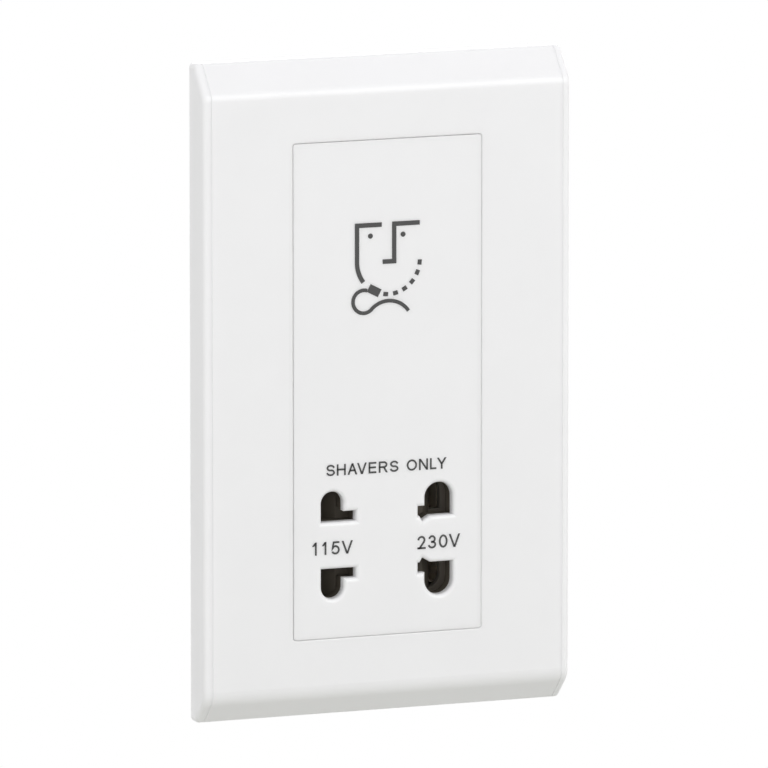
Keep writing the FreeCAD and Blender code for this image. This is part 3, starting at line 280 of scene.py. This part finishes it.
def moulded(
    name, colour, roughness, grain=0.25 * MM, relief=0.004 * MM, gloss=0.5, clouds=0.015, milky=0.0
):
    """Moulded plastic: a fine grain, faint clouds, an uneven polish, and light that spreads inside it."""
    made, tree, shader = new_material(name)
    shader.inputs["Specular IOR Level"].default_value = gloss
    shader.inputs["Subsurface Weight"].default_value = milky
    shader.inputs["Subsurface Radius"].default_value = (1.0, 1.0, 1.0)
    shader.inputs["Subsurface Scale"].default_value = MILKY_DEPTH
    shade(tree, shader, noise(tree, CLOUD_SIZE), scaled(colour, 1 - clouds), scaled(colour, 1 + clouds))
    polish = noise(tree, POLISH_SIZE)
    spread_roughness(tree, shader, polish, roughness - POLISH_SPREAD, roughness + POLISH_SPREAD)
    emboss(tree, shader, noise(tree, grain), relief, GRAIN_STRENGTH)
    return made


def metal(name, colour, roughness):
    """Bare metal with faint stains and fine working marks."""
    made, tree, shader = new_material(name)
    shader.inputs["Metallic"].default_value = 1.0
    dull, bright = (scaled(colour, share) for share in STAIN_SHADES)
    shade(tree, shader, noise(tree, STAIN_SIZE), dull, bright)
    smooth, rough = (roughness + more for more in MARK_ROUGHNESS)
    spread_roughness(tree, shader, noise(tree, MARK_SIZE, detail=5.0), smooth, rough)
    emboss(tree, shader, noise(tree, MARK_SIZE), MARK_HEIGHT, MARK_STRENGTH)
    return made


def layered(name, dark, light, pitch, direction, roughness, metallic):
    """Sheets or turns side by side: stripes in the colour and grooves between them."""
    made, tree, shader = new_material(name)
    shader.inputs["Metallic"].default_value = metallic
    stripes = bands(tree, pitch, direction)
    shade(tree, shader, stripes, dark, light)
    smooth, rough = (roughness + more for more in WEAR_ROUGHNESS)
    spread_roughness(tree, shader, noise(tree, WEAR_SIZE), smooth, rough)
    emboss(tree, shader, stripes, GROOVE_SHARE * pitch)
    return made


def build_materials():
    """One material for each of the record's slots."""
    return {
        "white_plastic": moulded("white_plastic", (0.864, 0.862, 0.873), 0.32, milky=0.8),
        "dark_plastic": moulded("dark_plastic", (0.1, 0.087, 0.069), 0.62, relief=0.01 * MM, gloss=0.3),
        "contact_plastic": moulded("contact_plastic", (0.28, 0.25, 0.21), 0.6, relief=0.01 * MM),
        "frame_plastic": moulded(
            "frame_plastic", (0.62, 0.63, 0.64), 0.5, 0.5 * MM, 0.02 * MM, clouds=0.04
        ),
        "housing_plastic": moulded(
            "housing_plastic", (0.55, 0.56, 0.57), 0.5, 0.7 * MM, 0.045 * MM, clouds=0.05
        ),
        "terminal_plastic": moulded(
            "terminal_plastic", (0.05, 0.05, 0.052), 0.45, 0.5 * MM, 0.03 * MM, clouds=0.1
        ),
        "bobbin_plastic": moulded("bobbin_plastic", (0.78, 0.74, 0.62), 0.5),
        "brass": metal("brass", (0.8, 0.6, 0.3), 0.3),
        "tinned_bronze": metal("tinned_bronze", (0.82, 0.76, 0.66), 0.85),
        "zinc_steel": metal("zinc_steel", (0.66, 0.67, 0.69), 0.32),
        "core_steel": layered(
            "core_steel", (0.1, 0.1, 0.105), (0.36, 0.36, 0.37), 0.5 * MM, "Y", 0.45, 1.0
        ),
        "copper": layered("copper", (0.3, 0.11, 0.04), (0.75, 0.34, 0.15), 0.3 * MM, "Z", 0.3, 1.0),
        "tape": layered("tape", (0.78, 0.58, 0.07), (0.88, 0.7, 0.13), 2.6 * MM, "Z", 0.28, 0.0),
        "cutout_case": moulded("cutout_case", (0.05, 0.05, 0.055), 0.4),
        "brown_lead": moulded("brown_lead", (0.2, 0.1, 0.045), 0.42),
        "blue_lead": moulded("blue_lead", (0.05, 0.15, 0.5), 0.42),
        "earth_lead": layered(
            "earth_lead", (0.12, 0.42, 0.06), (0.85, 0.75, 0.05), 2.2 * MM, "DIAGONAL", 0.42, 0.0
        ),
        "red_lead": moulded("red_lead", (0.55, 0.04, 0.03), 0.42),
        "black_lead": moulded("black_lead", (0.02, 0.02, 0.02), 0.42),
        "grey_lead": moulded("grey_lead", (0.38, 0.38, 0.38), 0.42),
    }


def dress_nodes(materials):
    """Give every solid the material of its slot."""
    for part in frame["record"]["subparts"]:
        nodes[part["node"]].data.materials[0] = materials[part["material_slot"]]


def arc(centre, radius, start, end, steps=24):
    """Points along an arc or an ellipse's part, from one angle in degrees to another."""
    across, tall = radius if isinstance(radius, tuple) else (radius, radius)
    angles = [math.radians(start + (end - start) * step / steps) for step in range(steps + 1)]
    return [(centre[0] + across * math.cos(a), centre[1] + tall * math.sin(a)) for a in angles]


def ring(centre, radius):
    """Points round a whole circle or ellipse, each one once."""
    return arc(centre, radius, 0, 345, 23)


def stroke_sides(points, width, closed):
    """The left and right side of a stroke along a line of points, with mitred corners."""
    line = [Vector(point) for point in points]
    sides = []
    for number, point in enumerate(line):
        before = line[number - 1] if number or closed else None
        after = line[(number + 1) % len(line)] if number + 1 < len(line) or closed else None
        steps = [(point - before).normalized()] if before else []
        steps += [(after - point).normalized()] if after else []
        normals = [Vector((-step.y, step.x)) for step in steps]
        middle = sum(normals, Vector((0, 0))).normalized()
        reach = width / 2 / middle.dot(normals[0])
        sides.append((point + middle * reach, point - middle * reach))
    return sides


class Print:
    """Printed marks as one thin closed mesh on a face that looks along Y, drawn in millimetres."""

    PROUD = 0.02
    SUNK = 0.01

    def __init__(self, name, face, looks):
        self.name = name
        self.layers = (face + looks * self.PROUD * MM, face - looks * self.SUNK * MM)
        self.points = []
        self.faces = []

    def add(self, points):
        """Add 2-D points in the front and back layer; give the first index of each."""
        front = len(self.points)
        back = front + len(points)
        for y in self.layers:
            self.points += [(x * MM, y, z * MM) for x, z in points]
        return front, back

    def area(self, points):
        """A filled outline."""
        count = len(points)
        front, back = self.add(points)
        self.faces.append([front + n for n in range(count)])
        self.faces.append([back + n for n in range(count)])
        for n in range(count):
            after = (n + 1) % count
            self.faces.append([front + n, back + n, back + after, front + after])

    def stroke(self, points, width, closed=False):
        """A stroke of even width along a line."""
        sides = stroke_sides(points, width, closed)
        count = len(sides)
        front, back = self.add([left for left, _ in sides] + [right for _, right in sides])
        for n in range(count if closed else count - 1):
            after = (n + 1) % count
            for first in (front, back):
                self.faces.append([first + n, first + after, first + count + after, first + count + n])
            for side in (0, count):
                here, there = side + n, side + after
                self.faces.append([front + here, front + there, back + there, back + here])
        if not closed:
            for n in (0, count - 1):
                self.faces.append([front + n, back + n, back + count + n, front + count + n])

    def slant(self, start, end, width):
        """A straight stroke whose two ends are cut level."""
        lean = (Vector(end) - Vector(start)).normalized()
        half = width / 2 / abs(lean.y)
        ends = ((start, -half), (start, half), (end, half), (end, -half))
        self.area([(x + aside, z) for (x, z), aside in ends])

    def finish(self, ink):
        """Make the marks a piece of the socket."""
        form = bmesh.new()
        spots = [form.verts.new(point) for point in self.points]
        for face in self.faces:
            form.faces.new([spots[n] for n in face])
        bmesh.ops.recalc_face_normals(form, faces=form.faces)
        mesh = bpy.data.meshes.new(self.name)
        form.to_mesh(mesh)
        form.free()
        mesh.materials.append(ink)
        made = bpy.data.objects.new(self.name, mesh)
        bpy.context.scene.collection.objects.link(made)
        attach(made, "socket")


# Each letter in a unit square: its width in letter heights, its strokes and its level-ended slants
LETTERS = {
    "A": (0.9, [[(0.2, 0.35), (0.8, 0.35)]], [((0, 0), (0.5, 1)), ((1, 0), (0.5, 1))]),
    "E": (0.73, [[(1, 1), (0, 1), (0, 0), (1, 0)], [(0, 0.52), (0.94, 0.52)]], []),
    "H": (0.84, [[(0, 0), (0, 1)], [(1, 0), (1, 1)], [(0, 0.53), (1, 0.53)]], []),
    "L": (0.6, [[(0, 1), (0, 0), (1, 0)]], []),
    "N": (0.85, [[(0, 0), (0, 1)], [(1, 0), (1, 1)]], [((0, 1), (1, 0))]),
    "O": (0.97, [ring((0.5, 0.5), 0.5)], []),
    "R": (
        0.84,
        [[(0, 0), (0, 1), *arc((0.6, 0.745), (0.36, 0.255), 90, -90), (0, 0.49)]],
        [((0.58, 0.49), (1, 0))],
    ),
    "S": (
        0.8,
        [[*arc((0.5, 0.745), (0.47, 0.255), 22, 255), *arc((0.5, 0.255), (0.5, 0.255), 75, -158)]],
        [],
    ),
    "V": (0.9, [], [((0, 1), (0.5, 0)), ((1, 1), (0.5, 0))]),
    "Y": (0.88, [[(0.5, 0.45), (0.5, 0)]], [((0, 1), (0.5, 0.42)), ((1, 1), (0.5, 0.42))]),
    "0": (0.7, [ring((0.5, 0.5), 0.5)], []),
    "1": (0.36, [[(1, 0), (1, 1)]], [((1, 0.98), (0, 0.72))]),
    "2": (
        0.67,
        [arc((0.48, 0.72), (0.46, 0.28), 165, -35), [(0, 0), (1, 0)]],
        [((0.84, 0.54), (0.09, 0))],
    ),
    "3": (
        0.66,
        [arc((0.46, 0.745), (0.42, 0.255), 155, -90), arc((0.46, 0.255), (0.5, 0.255), 90, -155)],
        [],
    ),
    "5": (
        0.68,
        [[(0.94, 1), (0.2, 1), (0.08, 0.5), *arc((0.47, 0.32), (0.52, 0.33), 120, -138)]],
        [],
    ),
}
# The letters whose one stroke closes on itself
RINGS = "O0"

# How much nearer or wider than the even gap some pairs stand, in letter heights
PAIRS = {"AV": -0.19, "LY": -0.12, "0V": -0.09, "ER": 0.05, "RS": 0.03, "11": 0.27, "15": 0.25}

# Each word on the socket's face, in millimetres: its left and right edge, foot, height and stroke
LEGENDS = {
    "use_legend": (
        ("SHAVERS", -14.4, 2.5, -18.83, 2.5, 0.4),
        ("ONLY", 4.45, 13.8, -18.83, 2.5, 0.4),
    ),
    "voltage_legends": (
        ("115V", -17.72, -8.22, -36.33, 2.9, 0.43),
        ("230V", 6.98, 17.05, -36.5, 2.95, 0.43),
    ),
}


def print_word(marks, word, left, right, foot, height, weight, reads=1):
    """Set a word between two places; reads is -1 on a face that is seen from behind."""
    apart = [PAIRS.get(word[n:n + 2], 0.0) for n in range(len(word) - 1)]
    inked = height * (sum(LETTERS[letter][0] for letter in word) + sum(apart))
    even = (right - left - inked) / max(len(apart), 1)
    start = left if reads > 0 else right
    for letter, extra in zip(word, [*apart, 0.0]):
        start = print_letter(marks, letter, start, foot, height, weight, reads)
        start += reads * (even + extra * height)


def print_letter(marks, letter, start, foot, height, weight, reads):
    """Print one letter from its first edge on; give its last edge."""
    share, strokes, slants = LETTERS[letter]
    wide, tall = share * height - weight, height - weight

    def spot(u, v):
        return start + reads * (weight / 2 + u * wide), foot + weight / 2 + v * tall

    def level_spot(u, v):
        """A slant's end, moved out to the letter's very head or foot where it is near it."""
        x, z = spot(u, v)
        near = 0.1
        return x, z + (v > 1 - near) * weight / 2 - (v < near) * weight / 2

    closed = letter in RINGS
    for line in strokes:
        points = [spot(*point) for point in line]
        marks.stroke(points if closed else squared_ends(points, weight / 2), weight, closed)
    for low, high in slants:
        marks.slant(level_spot(*low), level_spot(*high), weight)
    return start + reads * share * height


def squared_ends(points, reach):
    """An open line lengthened at both ends, so that its stroke fills the corners it ends in."""
    first, second = Vector(points[0]), Vector(points[1])
    last, other = Vector(points[-1]), Vector(points[-2])
    start = first + (first - second).normalized() * reach
    end = last + (last - other).normalized() * reach
    return [tuple(start), *points[1:-1], tuple(end)]


def print_pictogram(marks):
    """The common sign for a shaver outlet: a face, its beard as dashes, and a shaver on its cord."""
    bold, thin = 1.02, 0.83
    jaw, jaw_radius = (0.15, 28.1), 7.35
    brow, cheek, cheek_brow_end = 36.25, -7.2, -1.4
    marks.stroke([(cheek_brow_end, brow), (cheek, brow), *arc(jaw, jaw_radius, 180, 217)], bold)
    nose, nose_foot, nose_tip, nose_brow_end = 1.5, 28.0, -1.2, 7.5
    marks.stroke([(nose_brow_end, brow), (nose, brow), (nose, nose_foot), (nose_tip, nose_foot)], bold)
    eye_level, eye_radius = 33.84, 0.575
    for eye in (-4.06, 3.58):
        marks.area(ring((eye, eye_level), eye_radius))
    dashes, first_dash, dash_pitch = 6, -5, 18
    dash_length, dash_weight = 1.15, 0.95
    half_dash = math.degrees(dash_length / 2 / jaw_radius)
    for dash in range(dashes):
        angle = first_dash - dash_pitch * dash
        marks.stroke(arc(jaw, jaw_radius, angle - half_dash, angle + half_dash, 4), dash_weight)
    head_angle, head_length, head_weight = -117.6, 2.9, 1.9
    half_head = math.degrees(head_length / 2 / jaw_radius)
    marks.stroke(arc(jaw, jaw_radius, head_angle - half_head, head_angle + half_head, 1), head_weight)
    cord_loop = arc((-5.6, 19.38), 2.55, 72, 315)
    cord_hump = arc((0.2, 13.65), 5.64, 135, 34.3)
    marks.stroke([*cord_loop, *cord_hump], thin)


def print_face(ink):
    """All marks on the socket's face."""
    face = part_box("socket_front")[0].y
    sign = Print("shaver_sign", face, -1)
    print_pictogram(sign)
    sign.finish(ink)
    for name, words in LEGENDS.items():
        marks = Print(name, face, -1)
        for word in words:
            print_word(marks, *word)
        marks.finish(ink)


def print_terminals(paint):
    """Letters and the earth sign beside the terminal screws, read from behind."""
    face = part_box("terminal_block")[1].y
    marks = Print("terminal_marks", face, 1)
    foot, height, weight = -30.4, 2.4, 0.36
    for word, name in (("N", "neutral_clamp"), ("L", "live_clamp")):
        low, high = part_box(name)
        middle = (low.x + high.x) / 2 / MM
        half = LETTERS[word][0] * height / 2
        print_word(marks, word, middle - half, middle + half, foot, height, weight, reads=-1)
    # Each bar of the earth sign: its level as a share of the letters' height, and its half width
    earth_bars = ((0.45, 1.2), (0.22, 0.75), (0.0, 0.3))
    marks.stroke([(0, foot + height), (0, foot + earth_bars[0][0] * height)], weight)
    for share, half in earth_bars:
        marks.stroke([(-half, foot + share * height), (half, foot + share * height)], weight)
    marks.finish(paint)


def build_spring(side, steel):
    """A coil of wire that fills the spring's box, in place of its solid."""
    name = f"shutter_spring_{side}"
    low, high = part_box(name)
    wire_radius = 0.2 * MM
    turns, around, facets = 9, 28, 8
    middle_y, middle_z = (low.y + high.y) / 2, (low.z + high.z) / 2
    radius = (high.z - low.z) / 2 - wire_radius
    start, end = low.x + wire_radius, high.x - wire_radius
    along = Vector((1, 0, 0))
    points, faces = [], []
    count = turns * around + 1
    for step in range(count):
        turn = 2 * math.pi * step / around
        out = Vector((0, math.cos(turn), math.sin(turn)))
        centre = Vector((start + (end - start) * step / (count - 1), middle_y, middle_z)) + out * radius
        for n in range(facets):
            lean = 2 * math.pi * n / facets
            points.append(centre + (out * math.cos(lean) + along * math.sin(lean)) * wire_radius)
    for step in range(count - 1):
        for n in range(facets):
            here, there = step * facets, (step + 1) * facets
            after = (n + 1) % facets
            faces.append((here + n, here + after, there + after, there + n))
    faces.append(tuple(reversed(range(facets))))
    faces.append(tuple((count - 1) * facets + n for n in range(facets)))
    mesh = bpy.data.meshes.new(f"{name}_coil")
    mesh.from_pydata(points, [], faces)
    mesh.shade_smooth()
    mesh.materials.append(steel)
    coil = bpy.data.objects.new(f"{name}_coil", mesh)
    bpy.context.scene.collection.objects.link(coil)
    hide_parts(name)
    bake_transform(coil)


bpy.context.scene.view_settings.view_transform = "Standard"
aim_camera()
light_world()
light_lamps()
lay_floor()
finishes = build_materials()
dress_nodes(finishes)
print_face(moulded("ink", (0.064, 0.064, 0.064), 0.5, gloss=0.4))
print_terminals(moulded("marking_paint", (0.8, 0.8, 0.78), 0.5))
for spring_side, spring_sign in (("left", -1), ("right", 1)):
    build_spring(spring_side, finishes["zinc_steel"])
